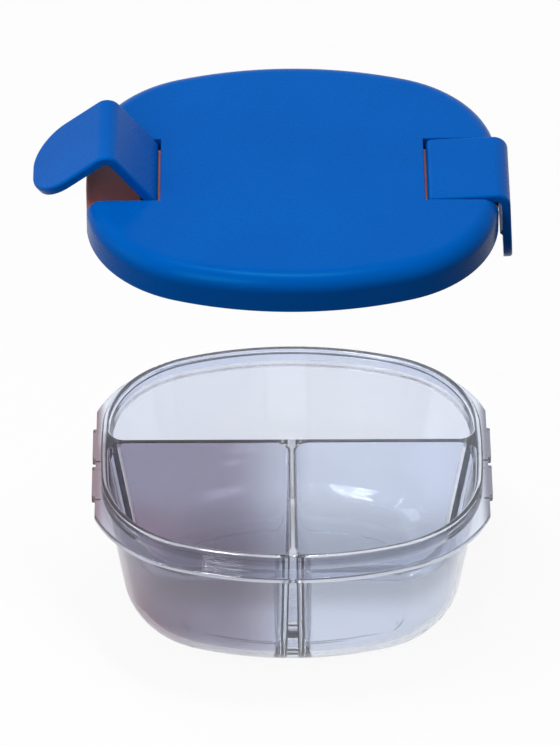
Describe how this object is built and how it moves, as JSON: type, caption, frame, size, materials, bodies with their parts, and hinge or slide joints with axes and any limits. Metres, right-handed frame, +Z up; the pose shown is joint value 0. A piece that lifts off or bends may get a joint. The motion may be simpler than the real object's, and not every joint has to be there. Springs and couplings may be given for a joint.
{
  "type": "lunch box",
  "caption": "Oval lunch box: a clear bowl with a T-shaped divider, and a lift-off lid with a rounded edge and a hinged clip at each end that hooks under a catch on the bowl.",
  "frame": {"origin": "centre of the container's foot, on the table", "axes": "+Z up, X through the clips with the raised clip at -X, the long divider's back compartment towards +Y, front at -Y"},
  "size_m": [0.1941, 0.151, 0.2456],
  "materials": {
    "clear_plastic": "clear, polished, with a faint lavender tint",
    "blue_plastic": "satin moulded plastic with a fine grain",
    "frame_plastic": "dark red-brown moulded plastic",
    "silicone": "pale translucent silicone",
    "pin_steel": "drawn wire"
  },
  "bodies": {
    "container": {"container": "clear_plastic"},
    "lid": {"lid_cover": "blue_plastic", "lid_frame": "frame_plastic", "lid_seal": "silicone", "left_pin_front": "pin_steel", "left_pin_back": "pin_steel", "right_pin_front": "pin_steel", "right_pin_back": "pin_steel"},
    "left_clip": {"left_clip": "blue_plastic"},
    "right_clip": {"right_clip": "blue_plastic"}
  },
  "joints": [
    {"name": "lid_lift", "type": "slide", "parent": "container", "child": "lid", "axis": [0, 0, 1], "range_m": [-0.137, 0]},
    {"name": "left_clip_hinge", "type": "hinge", "parent": "lid", "child": "left_clip", "pos_m": [-0.057, 0, 0.2222], "axis": [0, 1, 0], "range_deg": [-52, 43]},
    {"name": "right_clip_hinge", "type": "hinge", "parent": "lid", "child": "right_clip", "pos_m": [0.057, 0, 0.2222], "axis": [0, -1, 0], "range_deg": [-3, 92]}
  ]
}
